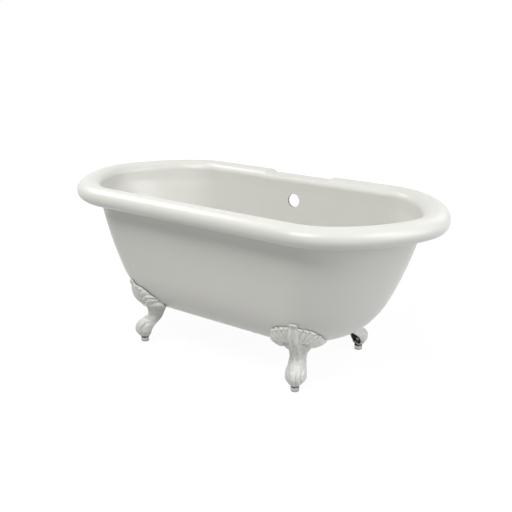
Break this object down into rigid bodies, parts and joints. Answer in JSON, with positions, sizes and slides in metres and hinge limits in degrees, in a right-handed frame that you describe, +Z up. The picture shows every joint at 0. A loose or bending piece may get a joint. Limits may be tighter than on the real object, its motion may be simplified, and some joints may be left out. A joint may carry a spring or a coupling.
{
  "type": "roll top bath",
  "caption": "Double-ended roll top bath with a flat tap ledge, an overflow hole and a waste hole, on cast claw feet with levelling screws.",
  "frame": {"origin": "on the floor under the middle of the bath, with the levelling screws at their middle setting", "axes": "+X along the bath, +Y towards the side with the tap ledge and the overflow, +Z up"},
  "size_m": [1.5, 0.754, 0.617],
  "materials": {
    "acrylic_white": "high gloss, warm white",
    "board_ply": "bare plywood under a coat of resin",
    "foot_white": "satin white paint on a casting",
    "block_wood": "bare wood under a coat of resin",
    "insert_brass": "turned",
    "zinc_steel": "zinc plated",
    "screw_steel": "zinc plated, slightly dulled",
    "glide_grey": "moulded"
  },
  "bodies": {
    "bath": {"bath_shell": "acrylic_white", "base_board": "board_ply", "foot_front_left": "foot_white", "foot_front_right": "foot_white", "foot_back_left": "foot_white", "foot_back_right": "foot_white", "block_front_left": "block_wood", "block_front_right": "block_wood", "block_back_left": "block_wood", "block_back_right": "block_wood", "foot_inserts": "insert_brass", "foot_bolts": "zinc_steel", "foot_washers": "zinc_steel", "lock_nuts": "zinc_steel"},
    "glide_front_left": {"glide_front_left": "glide_grey"},
    "glide_front_right": {"glide_front_right": "glide_grey"},
    "glide_back_left": {"glide_back_left": "glide_grey"},
    "glide_back_right": {"glide_back_right": "glide_grey"},
    "screw_front_left": {"screw_front_left": "screw_steel"},
    "screw_front_right": {"screw_front_right": "screw_steel"},
    "screw_back_left": {"screw_back_left": "screw_steel"},
    "screw_back_right": {"screw_back_right": "screw_steel"}
  },
  "joints": [
    {"name": "level_height_front_left", "type": "slide", "parent": "bath", "child": "glide_front_left", "axis": [0, 0, 1], "range_m": [-0.01801, 0.00151]},
    {"name": "level_turn_front_left", "type": "hinge", "parent": "glide_front_left", "child": "screw_front_left", "pos_m": [-0.352, -0.2145, 0], "axis": [0, 0, 1], "range_deg": [-4320, 360]},
    {"name": "level_height_front_right", "type": "slide", "parent": "bath", "child": "glide_front_right", "axis": [0, 0, 1], "range_m": [-0.01801, 0.00151]},
    {"name": "level_turn_front_right", "type": "hinge", "parent": "glide_front_right", "child": "screw_front_right", "pos_m": [0.352, -0.2145, 0], "axis": [0, 0, 1], "range_deg": [-4320, 360]},
    {"name": "level_height_back_left", "type": "slide", "parent": "bath", "child": "glide_back_left", "axis": [0, 0, 1], "range_m": [-0.01801, 0.00151]},
    {"name": "level_turn_back_left", "type": "hinge", "parent": "glide_back_left", "child": "screw_back_left", "pos_m": [-0.352, 0.2145, 0], "axis": [0, 0, 1], "range_deg": [-4320, 360]},
    {"name": "level_height_back_right", "type": "slide", "parent": "bath", "child": "glide_back_right", "axis": [0, 0, 1], "range_m": [-0.01801, 0.00151]},
    {"name": "level_turn_back_right", "type": "hinge", "parent": "glide_back_right", "child": "screw_back_right", "pos_m": [0.352, 0.2145, 0], "axis": [0, 0, 1], "range_deg": [-4320, 360]}
  ],
  "couplings": [
    {"joint": "level_height_front_left", "follows": "level_turn_front_left", "m_per_rad": 0.00023873},
    {"joint": "level_height_front_right", "follows": "level_turn_front_right", "m_per_rad": 0.00023873},
    {"joint": "level_height_back_left", "follows": "level_turn_back_left", "m_per_rad": 0.00023873},
    {"joint": "level_height_back_right", "follows": "level_turn_back_right", "m_per_rad": 0.00023873}
  ]
}
